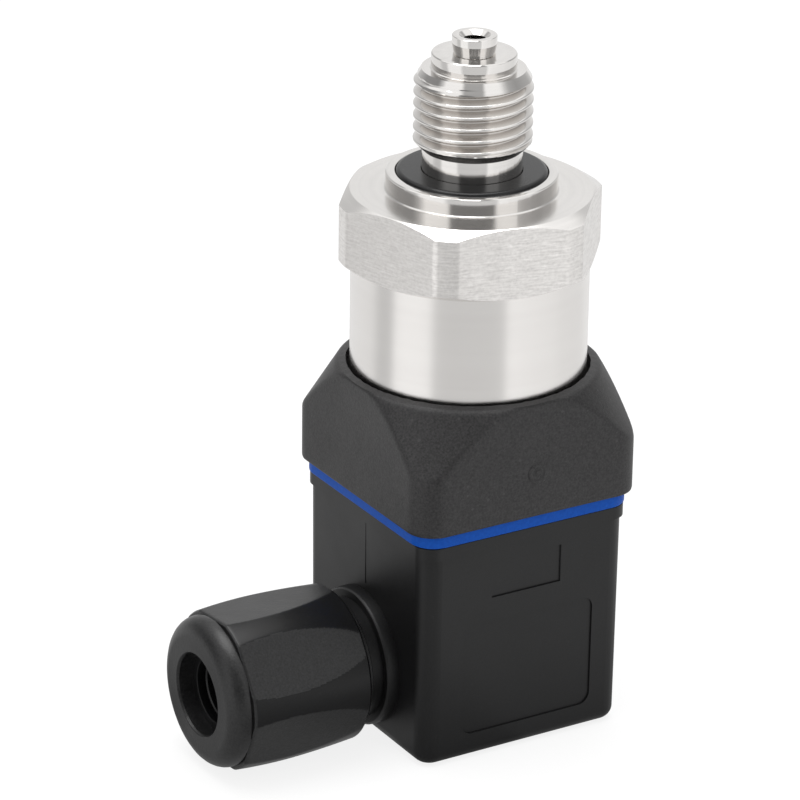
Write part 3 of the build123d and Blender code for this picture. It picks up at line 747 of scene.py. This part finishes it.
def finish_piece(bm, name, material, nodes, body="transmitter", sharp=28.0, lying=False):
    """Make an object of a bmesh in millimetres, and let it stand for CAD nodes."""
    bmesh.ops.remove_doubles(bm, verts=bm.verts, dist=0.0005)
    bmesh.ops.dissolve_degenerate(bm, edges=bm.edges, dist=0.0002)
    bmesh.ops.recalc_face_normals(bm, faces=bm.faces)
    if lying:
        bm.transform(gland_turn)
    if bm.calc_volume(signed=True) < 0:
        bmesh.ops.reverse_faces(bm, faces=bm.faces)
    volume = bm.calc_volume()
    open_edges = sum(not e.is_manifold for e in bm.edges)
    bm.transform(Matrix.Scale(MM, 4))
    mesh = bpy.data.meshes.new(name)
    bm.to_mesh(mesh)
    bm.free()
    mesh.shade_smooth()
    mesh.set_sharp_from_angle(angle=radians(sharp))
    mesh.materials.append(finishes[material])
    piece = bpy.data.objects.new(name, mesh)
    bpy.context.scene.collection.objects.link(piece)
    weighted = piece.modifiers.new("weighted", "WEIGHTED_NORMAL")
    weighted.keep_sharp = True
    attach(piece, body)
    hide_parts(*nodes)
    print(name, "faces", len(mesh.polygons), "volume", round(volume), "mm3 open", open_edges)
    return piece


# %% [markdown]
# The pipe thread
#
# A thread could be a stack of rings, but then it would not screw into anything. Here one
# pitch of the real outline, with its rounded crest and root, is spun round the axis while
# it climbs, and the turns are merged into one winding surface, whose two ends are cut
# level. Both threads of the object are made by this helper.

# %% Winding surface
def winding(crest, pitch, half_angle, rounding, low, high, steps, first_crest):
    """A screw surface between two heights; first_crest is where a crest crosses +X."""
    full_height = pitch / 2 / tan(radians(half_angle))
    sharp_crest = crest + rounding / sin(radians(half_angle)) - rounding
    corners = [(sharp_crest - full_height / 2, -pitch / 4, 0), (sharp_crest, 0, rounding),
               (sharp_crest - full_height, pitch / 2, rounding),
               (sharp_crest - full_height / 2, pitch * 3 / 4, 0)]
    outline = softened(corners, steps=5)
    turns = ceil((high - low) / pitch) + 3
    bm = bmesh.new()
    start = first_crest - (2 + ceil((first_crest - low) / pitch)) * pitch
    verts = [bm.verts.new((r, 0.0, start + z)) for r, z in outline]
    edges = [bm.edges.new(pair) for pair in zip(verts, verts[1:])]
    bmesh.ops.subdivide_edges(bm, edges=[e for e in edges if e.calc_length() > 0.2], cuts=3)
    bmesh.ops.spin(bm, geom=bm.verts[:] + bm.edges[:], cent=(0, 0, 0), axis=(0, 0, 1),
                   dvec=(0, 0, pitch / steps), angle=2 * pi * turns, steps=steps * turns)
    bmesh.ops.remove_doubles(bm, verts=bm.verts, dist=0.002)
    for height, side in ((low, -1), (high, 1)):
        bmesh.ops.bisect_plane(bm, geom=bm.verts[:] + bm.edges[:] + bm.faces[:],
                               plane_co=(0, 0, height), plane_no=(0, 0, side),
                               clear_outer=True)
    return bm


# %% [markdown]
# The process connection is one piece of steel, so it is one closed mesh: the thread, the
# stub and the nose above it, the undercut, the collar and the hexagon below, and inside
# the channel and the seat of the measuring cell. The hexagon's corners are turned off and
# its faces chamfered at 30 degrees. Each point of the chamfer's edge is where the flat
# meets the cone, so the curved edge comes out by itself.

# %% Sizes of the process connection
port_segments = 240
crest, neck, undercut, first_crest, thread_steps = 6.58, 5.55, 2.7, 3.2, 96
cone_low, cone_high, cone_top = 10.55, 11.85, 5.75
pipe_pitch, pipe_half_angle, pipe_rounding = 1.337, 27.5, 0.184
run_out_high, run_out_low = (10.85, 0.35), (4.0, 0.3)
stub, stub_top, nose, waist, nose_top = 4.7, 13.6, 2.475, 2.325, 15.6
channel, mouth, mouth_sink = 1.25, 1.75, 0.5
nose_foot, waist_step = 14.7, 0.14
groove_floor, groove_wall, collar, collar_foot, foot_round = -1.2, 8.45, 9.5, -2.0, 0.22
flats, corner, face = 13.5, 14.95, 13.4
hexagon_foot, hexagon_turn, hexagon_chamfer = -10.2, -12.1, 30.0
cell_seat, cell_wall, spigot, spigot_foot = -6.9, 9.05, 12.2, -13.7
ring_groove, groove_in, groove_out = -5.4, 5.8, 7.8
strip, snap = acos(flats / corner), radians(0.8)


def off_flat(angle, turn):
    """How far an angle is from the middle of the nearest of six flats."""
    return (angle - radians(turn)) % (pi / 3) - pi / 6


def flat_radius(angle):
    """Distance from the axis to the hexagon's side, its corners turned off."""
    return min(flats / cos(off_flat(angle, hexagon_turn)), corner)


def chamfer_drop(angle):
    """How far the chamfer comes down the side at an angle."""
    return (flat_radius(angle) - face) * tan(radians(hexagon_chamfer))


def on_strip_edge(angle):
    """Slide an angle onto the edge of a corner strip if it is close to one."""
    off = off_flat(angle, hexagon_turn)
    miss = abs(off) - strip
    return angle - miss * (1 if off > 0 else -1) if abs(miss) < snap else angle


print("corner strip", round(2 * corner * sin(pi / 6 - strip), 2), "mm wide")

# %% [markdown]
# The thread comes first. It is pressed onto a cone at each end, as a lathe tool leaves it,
# and its groove runs out there. Everything else grows from its two ends.

# %% Process connection
def thread_of_port():
    """The pipe thread, between the undercut and the top of the upper cone."""
    bm = winding(crest, pipe_pitch, pipe_half_angle, pipe_rounding, undercut, cone_high,
                 thread_steps, first_crest)
    slope = (crest - cone_top) / (cone_high - cone_low)
    for v in bm.verts:
        limit = min(neck + v.co.z - undercut, cone_top + (cone_high - v.co.z) * slope)
        r = min(hypot(v.co.x, v.co.y), limit)
        end = max((v.co.z - run_out_high[0]) / run_out_high[1],
                  (run_out_low[0] - v.co.z) / run_out_low[1])
        place_verts([v], r + (min(limit, crest) - r) * min(max(end, 0.0), 1.0), v.co.z)
    return bm


def build_port():
    """The whole steel piece, from the nose to the spigot inside the case."""
    bm = thread_of_port()
    lower, upper = rim_of(bm, undercut), rim_of(bm, cone_high)
    place_verts(verts_of(lower), neck, undercut)
    place_verts(verts_of(upper), cone_top, cone_high)
    down = softened([(neck, undercut, 0), (neck, groove_floor, 0),
                     (groove_wall, groove_floor, 0), (groove_wall, 0.0, 0.08),
                     (collar, 0.0, 0.18), (collar, collar_foot, foot_round),
                     (collar + 0.5, collar_foot, 0)])
    lower = grow(bm, lower, down[1:])
    up = softened([(cone_top, cone_high, 0), (stub + 0.12, cone_high, 0),
                   (stub - 0.08, cone_high + 0.12, 0), (stub, cone_high + 0.3, 0),
                   (stub, stub_top, 0.22), (waist - waist_step, stub_top, 0),
                   (waist - waist_step, stub_top + 0.16, 0), (waist, stub_top + 0.22, 0),
                   (nose, nose_foot, 0.3), (nose, nose_top, 0.12), (mouth, nose_top, 0.04),
                   (channel, nose_top - mouth_sink, 0), (channel, cell_seat, 0),
                   (groove_in, cell_seat, 0), (groove_in, ring_groove, 0),
                   (groove_out, ring_groove, 0), (groove_out, cell_seat, 0),
                   (cell_wall, cell_seat, 0), (cell_wall, spigot_foot, 0),
                   (spigot, spigot_foot, 0.1), (spigot, hexagon_foot, 0)])
    upper = grow(bm, upper, up[1:])
    top = new_rim(bm, port_segments, face, collar_foot)
    bmesh.ops.rotate(bm, verts=list(verts_of(top)), cent=(0, 0, 0),
                     matrix=Matrix.Rotation(radians(hexagon_turn), 3, "Z"))
    for v in verts_of(top):
        angle = on_strip_edge(atan2(v.co.y, v.co.x))
        v.co = (face * cos(angle), face * sin(angle), collar_foot)
    foot = grow(bm, top, [(flat_radius, lambda a: collar_foot - chamfer_drop(a)),
                          (flat_radius, lambda a: hexagon_foot + chamfer_drop(a)),
                          (face, hexagon_foot)])
    bmesh.ops.bridge_loops(bm, edges=lower + top)
    bmesh.ops.bridge_loops(bm, edges=upper + foot)
    return bm


port = finish_piece(build_port(), "process_connection", "stainless_steel", ["pressure_port"])
for extra in ("milled_steel", "faced_steel"):
    port.data.materials.append(finishes[extra])
milled, faced = 1, 2
for side in port.data.polygons:
    centre = side.center / MM
    reach = hypot(centre.x, centre.y)
    if reach > 13.0 and hexagon_foot + 0.01 < centre.z < collar_foot - 0.01:
        side.material_index = milled if abs(side.normal.z) < 0.2 else faced
    elif reach > collar and centre.z > hexagon_foot - 0.01:
        side.material_index = faced
print("materials on the port", len(port.data.materials))

# %% [markdown]
# The sealing ring lies in the collar's groove and stands a little proud. It is a plain
# turned ring with soft edges.

# %% Sealing ring
(_, _, seal_low), (seal_outer, _, seal_high) = box_in_mm("port_seal")
seal_inner, seal_round, seal_segments = 5.57, 0.55, 144
outline = softened([(seal_inner, seal_low, 0.1), (seal_outer, seal_low, 0.1),
                    (seal_outer, seal_high, seal_round), (seal_inner, seal_high, 0.15)],
                   steps=4)
finish_piece(turned(outline, seal_segments), "sealing_ring", "black_rubber", ["port_seal"])

# %% [markdown]
# The case is a turned tube. Its ends are hidden under the hexagon and in the base, but
# they are rounded all the same.

# %% Case
(_, _, case_low), (case_radius, _, case_high) = box_in_mm("case_tube")
case_bore, case_segments = 12.25, 192
outline = softened([(case_bore, case_low, 0.1), (case_radius, case_low, 0.2),
                    (case_radius, case_high, 0.08), (case_bore, case_high, 0.08)])
finish_piece(turned(outline, case_segments), "steel_case", "case_steel", ["case_tube"])

# %% [markdown]
# Reworking a CAD piece
#
# A moulded part with pockets and slots is not modelled again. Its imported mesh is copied
# and merged, and only the outer skin is taken off and grown anew with soft edges. What is
# inside stays as the solid has it.

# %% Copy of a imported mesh
def packed_copy(node):
    """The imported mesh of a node, merged, in millimetres."""
    bm = bmesh.new()
    bm.from_mesh(frame["nodes"][node].data)
    bm.transform(Matrix.Scale(1 / MM, 4))
    bmesh.ops.remove_doubles(bm, verts=bm.verts, dist=0.002)
    bmesh.ops.recalc_face_normals(bm, faces=bm.faces)
    return bm


def skin_off(bm, is_skin):
    """Delete the faces that belong to the outer skin."""
    skin = [f for f in bm.faces if is_skin(f.calc_center_median(), f.normal)]
    bmesh.ops.delete(bm, geom=skin, context="FACES")
    print("skin faces taken off", len(skin))


def join_in(bm, other):
    """Add another bmesh to this one and free it."""
    carrier = bpy.data.meshes.new("carrier")
    other.to_mesh(carrier)
    other.free()
    bm.from_mesh(carrier)
    bpy.data.meshes.remove(carrier)


# %% [markdown]
# The base
#
# Its side is a square with rounded corners, and a cone cuts it towards the round mouth.
# At every angle the surface is the nearer of the two, with a soft blend where they meet,
# so the sweeping edges between cone and flats are not drawn: they appear.

# %% Square and cone
(_, _, base_foot), (base_half, _, base_top) = box_in_mm("connector_base")
base_corner, cone_mouth, cone_steepness, base_mouth = 3.1, 14.7, 58.3, 13.9
base_segments, base_rows, base_edge, base_blend = 288, 46, 0.25, 0.28


def square_radius(angle, half, rounding):
    """Distance from the axis to the side of a square with rounded corners."""
    c, s = abs(cos(angle)), abs(sin(angle))
    c, s = max(c, s), min(c, s)
    reach = half / c
    inner = half - rounding
    if reach * s <= inner:
        return reach
    along = inner * (c + s)
    return along + (along * along - 2 * inner * inner + rounding * rounding) ** 0.5


def nearer(first, second, width):
    """The smaller of two numbers, with a soft blend where they are close."""
    h = max(width - abs(first - second), 0.0) / width
    return min(first, second) - h * h * width / 4


def base_radius(height, inset=0.0):
    """The radius of the base at a height, as a function of the angle."""
    cone = cone_mouth + (base_top - height) / tan(radians(cone_steepness))

    def radius(angle):
        return nearer(square_radius(angle, base_half, base_corner), cone, base_blend) - inset

    return radius


# %% [markdown]
# The small ring on the front of the base is the mark that the injection point left. It is
# a shallow raised disc with a dimple, a closed form that sits half in the wall. It starts
# as a turned ring, whose hole is closed by two caps.

# %% Gate mark
gate_outline = [(0.2, -0.1, 0), (1.3, -0.1, 0), (1.3, 0.05, 0.04), (0.95, 0.11, 0.04),
                (0.72, 0.015, 0.03), (0.45, 0.03, 0.02), (0.32, 0.12, 0.03), (0.2, 0.1, 0)]
gate_place, gate_segments, gate_hole = (0.4, -base_half, -30.8), 40, 0.26
gate_unevenness, gate_lumps = 0.16, 1.7


def gate_mark():
    """A shallow disc with a dimple, lying against the -Y wall."""
    bm = turned(softened(gate_outline, steps=2), gate_segments)
    for v in bm.verts:
        spot = Vector((v.co.x, v.co.y, 0.0)) * gate_lumps
        v.co *= 1.0 + gate_unevenness * noise.noise(spot)
    inner = [v for v in bm.verts if hypot(v.co.x, v.co.y) < gate_hole]
    bmesh.ops.contextual_create(bm, geom=[v for v in inner if v.co.z > 0])
    bmesh.ops.contextual_create(bm, geom=[v for v in inner if v.co.z < 0])
    wall = [f for f in bm.faces if len(f.verts) == 4 and all(v in inner for v in f.verts)]
    bmesh.ops.delete(bm, geom=wall, context="FACES")
    bm.transform(Matrix.Translation(gate_place) @ Matrix.Rotation(pi / 2, 4, "X"))
    return bm


print("gate mark", round(2 * max(r for r, _, _ in gate_outline), 1), "mm wide")

# %% [markdown]
# Where the two halves of the base's mould met, a thin lip of flash stands in the mouth. It
# is uneven, so its radius and its height follow a noise round the axis.

# %% Base
mouth_depth, lip_radius, lip_unevenness, lip_lumps = 1.0, 13.66, 0.07, 9.0


def wobble(angle):
    """How far the thin lip is off its even form at an angle."""
    spot = Vector((cos(angle), sin(angle), 0.0)) * lip_lumps
    return lip_unevenness * (noise.noise(spot) + 0.5 * noise.noise(spot * 4))


def build_base():
    """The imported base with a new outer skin."""
    bm = packed_copy("connector_base")
    skin_off(bm, lambda c, n: hypot(c.x, c.y) > base_mouth - 0.06 and n.z > -0.99
             and (hypot(c.x, c.y) > base_mouth + 0.06 or c.z > base_top - mouth_depth))
    foot_rim, mouth_rim = rim_of(bm, base_foot), rim_of(bm, base_top - mouth_depth)
    rise = base_top - base_foot - 2 * base_edge
    heights = [base_foot + base_edge + rise * k / base_rows for k in range(base_rows + 1)]
    first = new_rim(bm, base_segments, base_radius(base_foot, 0.15), base_foot)
    last = grow(bm, first, [(base_radius(base_foot, 0.05), base_foot + 0.06)]
                + [(base_radius(z), z) for z in heights]
                + [(base_radius(base_top, 0.02), base_top - 0.1),
                   (base_radius(base_top, 0.14), base_top),
                   (cone_mouth - 0.3, lambda a: base_top + 0.08 + 0.5 * wobble(a)),
                   (lambda a: lip_radius + wobble(a),
                    lambda a: base_top + 0.26 + wobble(2 * a)),
                   (lambda a: lip_radius + wobble(a + 0.02), base_top - 0.3),
                   (base_mouth, base_top - 0.7)])
    bmesh.ops.bridge_loops(bm, edges=foot_rim + first)
    bmesh.ops.bridge_loops(bm, edges=mouth_rim + last)
    join_in(bm, gate_mark())
    return bm


finish_piece(build_base(), "terminal_base", "base_plastic", ["connector_base"], sharp=35)

# %% [markdown]
# The gasket keeps its packed form, with its slots for the blades. Only its four sides
# are bevelled, because rubber has no hard edge, and their lower edges are drawn in a
# little, where the plug presses on them.

# %% Gasket
(_, _, gasket_low), (gasket_half, _, _) = box_in_mm("flange_gasket")
gasket_bevel, gasket_squeeze = 0.16, 0.12


def build_gasket():
    """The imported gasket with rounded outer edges."""
    bm = packed_copy("flange_gasket")
    bmesh.ops.dissolve_limit(bm, angle_limit=radians(0.5), verts=bm.verts[:],
                             edges=bm.edges[:])
    outer = [e for e in bm.edges if e.calc_face_angle(0) > 1.0
             and all(hypot(v.co.x, v.co.y) > gasket_half - 0.5 for v in e.verts)]
    bmesh.ops.bevel(bm, geom=outer, offset=gasket_bevel, segments=3, profile=0.5,
                    affect="EDGES", material=-1)
    for v in bm.verts:
        for axis in (0, 1):
            if v.co.z < gasket_low + 0.08 and abs(v.co[axis]) > gasket_half - 0.3:
                v.co[axis] -= gasket_squeeze * (1 if v.co[axis] > 0 else -1)
    return bm


finish_piece(build_gasket(), "blue_gasket", "blue_rubber", ["flange_gasket"], sharp=40)

# %% [markdown]
# The plug
#
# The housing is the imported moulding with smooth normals. Its spigot carries a coarse
# plastic thread for the gland nut, which shows when the nut is unscrewed, so the plain
# cylinder is taken off and a winding surface is set in its place. The thread fades out at
# both ends, as a moulded one does.

# %% Thread of the spigot
spigot_start, spigot_end, spigot_bore, foot_bevel, end_bevel = 16.2, 28.5, 6.3, 0.12, 0.5
gland_crest, gland_pitch, gland_rounding, gland_half_angle = 7.6, 1.411, 0.2, 30.0
thread_low, thread_high, fade_length, gland_steps = 17.4, 27.9, 0.9, 72


def spigot_thread():
    """The skin of the spigot, upright, with an open rim at each end."""
    bm = winding(gland_crest, gland_pitch, gland_half_angle, gland_rounding, thread_low,
                 thread_high, gland_steps, thread_low)
    for v in bm.verts:
        end = min(v.co.z - thread_low, thread_high - v.co.z)
        depth = gland_crest - min(hypot(v.co.x, v.co.y), gland_crest)
        place_verts([v], gland_crest - depth * min(max(end / fade_length, 0.0), 1.0), v.co.z)
    grow(bm, rim_of(bm, thread_low), [(gland_crest, spigot_start + foot_bevel),
                                      (gland_crest - foot_bevel, spigot_start)])
    grow(bm, rim_of(bm, thread_high), [(gland_crest, spigot_end - end_bevel),
                                       (gland_crest - end_bevel, spigot_end)])
    return bm


print("turns on the spigot", round((thread_high - thread_low) / gland_pitch, 1))

# %% [markdown]
# The mould leaves a thin raised line on the side with the spigot, a bevelled bar that sits
# in the wall. The housing is worked on upright, so that the spigot's rims can be found by
# their height, and each rim is filled to the new skin's rim in one plane.

# %% Plug housing
parting_side, parting_low, parting_high = -0.3, -46.8, -39.4
parting_thickness, parting_width, parting_sink, parting_bevel = 0.16, 0.09, 0.27, 0.03


def parting_line():
    """The thin raised line that two halves of a mould leave on the -X face."""
    bm = bmesh.new()
    bmesh.ops.create_cube(bm, size=1.0)
    tall = parting_high - parting_low
    bmesh.ops.scale(bm, verts=bm.verts, vec=(parting_thickness, parting_width, tall))
    bmesh.ops.bevel(bm, geom=[e for e in bm.edges if e.calc_length() > 1],
                    offset=parting_bevel, segments=2, profile=0.5, affect="EDGES",
                    material=-1)
    plug_half = box_in_mm("plug_housing")[1][1]
    bmesh.ops.translate(bm, verts=bm.verts, vec=(parting_sink - plug_half, parting_side,
                                                 parting_low + tall / 2))
    return bm


def build_plug():
    """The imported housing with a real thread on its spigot, upright."""
    bm = packed_copy("plug_housing")
    bm.transform(gland_turn.inverted())
    bm.normal_update()
    skin_off(bm, lambda c, n: spigot_bore + 0.08 < hypot(c.x, c.y) < gland_crest + 0.1
             and spigot_start - 0.05 < c.z < spigot_end + 0.05)
    bmesh.ops.dissolve_limit(bm, angle_limit=radians(0.4), verts=bm.verts[:],
                             edges=bm.edges[:])
    line = parting_line()
    line.transform(gland_turn.inverted())
    join_in(bm, line)
    join_in(bm, spigot_thread())
    for height, side in ((spigot_start, -1), (spigot_end, 1)):
        bmesh.ops.triangle_fill(bm, edges=rim_of(bm, height), normal=(0, 0, side),
                                use_beauty=True)
    return bm


finish_piece(build_plug(), "cable_plug", "plug_plastic", ["plug_housing"], sharp=20,
             lying=True)

# %% [markdown]
# The gland nut
#
# Its six flats lean in towards the front, a cone turns the corners off more and more
# towards the rear, and the front ends in a dome round the cable hole. The radius at each
# angle is again the nearer of flat and cone, softly blended, and the rims run from the
# rear face over the dome and back through the bore to where they began.

# %% Sizes of the nut
nut_segments, nut_rows, nut_blend = 432, 56, 0.06
nut_rear, nut_front, nut_flats, nut_draft, nut_turn = 17.05, 34.5, 8.86, 1.02, 6.0
corner_rear, corner_middle, corner_front = 8.92, 9.38, 9.12
corner_start, corner_full, corner_end = nut_rear + 0.4, 26.0, 31.85
hexagon_stop, crease, dome_start, dome, dome_round = 32.1, 8.46, 32.35, 8.65, 2.05
hole, hole_edge, shoulder, chamber, relief_end, thread_bore = 4.6, 4.82, 32.5, 6.3, 30.0, 7.65


def nut_sizes(reach):
    """How far the flats and the corners are from the axis at a distance along the gland."""
    side = nut_flats - (reach - nut_rear) * tan(radians(nut_draft))
    short = 1 - min((reach - nut_rear) / (corner_full - nut_rear), 1.0)
    past = min(max(reach - corner_full, 0.0) / (corner_end - corner_full), 1.0)
    corners = (corner_middle - (corner_middle - corner_rear) * short ** 1.7
               - (corner_middle - corner_front) * past ** 2)
    return side, corners


def nut_radius(reach, inset=0.0):
    """The radius of the nut at a distance along the gland, as a function of the angle."""
    side, corners = nut_sizes(reach)

    def radius(angle):
        return nearer(side / cos(off_flat(angle, nut_turn)), corners, nut_blend) - inset

    return radius


print("nut", round(2 * nut_flats, 1), "mm across its flats")

# %% [markdown]
# The mould is eroded on the flats and polished where the corners are turned off, so each
# face of the finished mesh gets its finish from which of the two it lies on.

# %% Gland nut
def build_nut():
    """The nut as one ring of rims that closes on itself."""
    bm = bmesh.new()
    span = corner_end - corner_start
    reaches = [corner_start + span * k / nut_rows for k in range(nut_rows + 1)]
    rim = new_rim(bm, nut_segments, thread_bore, nut_rear)
    rim = grow(bm, rim, [(nut_radius(nut_rear, 0.42), nut_rear),
                         (nut_radius(nut_rear, 0.2), nut_rear + 0.12)]
               + [(nut_radius(z), z) for z in reaches]
               + [(nut_radius(corner_end, 0.05), corner_end + 0.12),
                  (nut_radius(corner_end, 0.18), hexagon_stop), (crease, hexagon_stop + 0.02),
                  (crease, dome_start - 0.06)])
    grow(bm, rim, softened(
        [(dome, dome_start, 0.1), (dome, nut_front, dome_round),
         (hole_edge + 0.14, nut_front - 0.01, 0), (hole_edge + 0.07, nut_front, 0),
         (hole_edge, nut_front - 0.06, 0.03), (hole_edge - 0.12, nut_front - 0.3, 0.05),
         (hole, shoulder, 0), (chamber, shoulder, 0), (chamber, relief_end, 0),
         (thread_bore, relief_end, 0), (thread_bore, nut_rear, 0)], steps=9))
    return bm


nut = finish_piece(build_nut(), "domed_nut", "nut_plastic", ["gland_nut"], body="nut",
                   sharp=32, lying=True)
nut.data.materials.append(finishes["smooth_plastic"])
upright = gland_turn.inverted()
for side in nut.data.polygons:
    spot = upright @ (side.center / MM)
    flat, corners = nut_sizes(spot.z)
    past_flat = flat / cos(off_flat(atan2(spot.y, spot.x), nut_turn)) > corners - 0.01
    outside = hypot(spot.x, spot.y) > nut_flats - 0.3
    if past_flat and outside and nut_rear < spot.z < corner_end:
        side.material_index = 1
print("polished faces", sum(side.material_index for side in nut.data.polygons))

# %% [markdown]
# Behind the mouth of the nut sit the thrust ring and the rubber seal. Both are turned. The
# thrust ring moves out with the nut, and the seal stays in the spigot.

# %% Rings of the gland
def gland_ring(node, name, material, bore, rounding, body):
    """A turned ring that lies along the gland, as long and as wide as its node."""
    (low_x, low_y, _), (high_x, high_y, _) = box_in_mm(node)
    outer = (high_y - low_y) / 2
    outline = softened([(bore, -high_x, rounding), (outer, -high_x, rounding),
                        (outer, -low_x, rounding), (bore, -low_x, rounding)])
    finish_piece(turned(outline, 96), name, material, [node], body=body, lying=True)


gland_ring("thrust_ring", "gland_washer", "smooth_plastic", 3.7, 0.12, body="gland_ring")
gland_ring("cable_seal", "gland_rubber", "black_rubber", 3.4, 0.3, body="transmitter")
